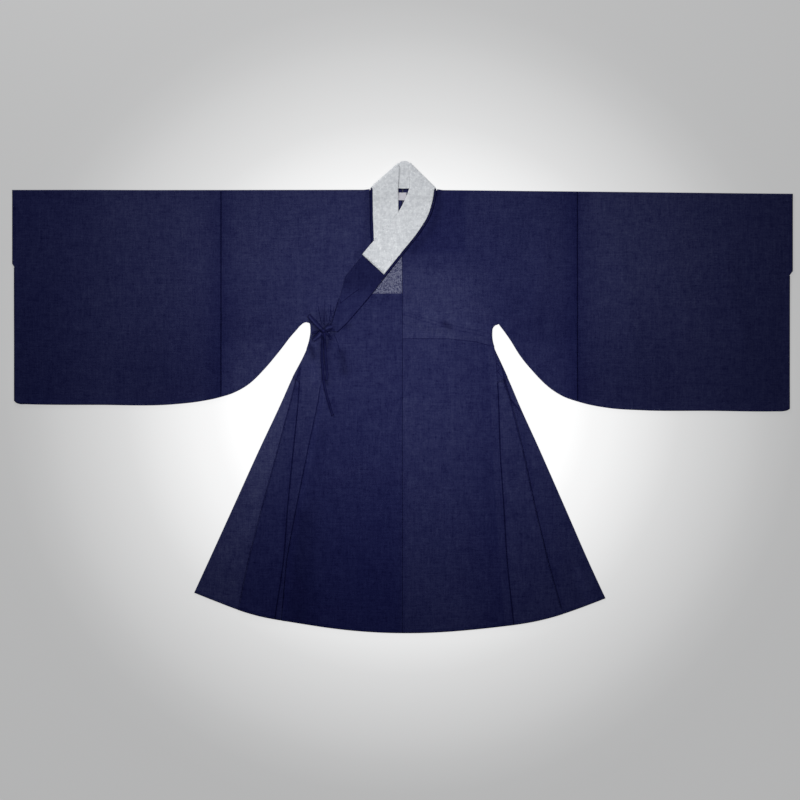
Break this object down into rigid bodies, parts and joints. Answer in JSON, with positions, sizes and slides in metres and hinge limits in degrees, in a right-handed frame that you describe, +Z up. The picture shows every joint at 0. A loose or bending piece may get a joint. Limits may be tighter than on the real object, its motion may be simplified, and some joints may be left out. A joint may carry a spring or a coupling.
{
  "type": "hanfu robe laid flat",
  "caption": "Wide-sleeved cross-collared robe laid flat, closing left over right, with side gores, a pale collar cover and ties in a bow at the armpit.",
  "frame": {"origin": "on the surface the robe lies on, under the middle of its outline", "axes": "+X towards the wearer's left cuff, +Y towards the neck, +Z up out of the surface, the robe face up"},
  "size_m": [2.298, 1.3908, 0.0124],
  "materials": {
    "robe_cloth": "fine slubby plain weave, slightly sheer, soft sheen",
    "collar_cloth": "the robe's cloth, several layers thick",
    "cover_cloth": "pale grey-white, faint self-coloured mottle",
    "label_cloth": "bare woven label",
    "tie_cloth": "narrow flat ties of the robe's cloth"
  },
  "bodies": {
    "root": {"body_right": "robe_cloth", "body_left": "robe_cloth", "sleeve_right": "robe_cloth", "sleeve_left": "robe_cloth", "overlap_inner": "robe_cloth", "overlap_outer": "robe_cloth", "gore_front_right": "robe_cloth", "gore_front_left": "robe_cloth", "gore_back_right": "robe_cloth", "gore_back_left": "robe_cloth", "collar_band": "collar_cloth", "collar_cover": "cover_cloth", "neck_label": "label_cloth", "tie_collar": "tie_cloth", "tie_side": "tie_cloth", "tie_knot": "tie_cloth", "tie_loop_upper": "tie_cloth", "tie_loop_lower": "tie_cloth", "tie_loop_small": "tie_cloth", "tie_end": "tie_cloth", "tie_tail_long": "tie_cloth", "tie_tail_short": "tie_cloth", "tie_inner_front": "tie_cloth", "tie_inner_side": "tie_cloth"}
  },
  "joints": []
}
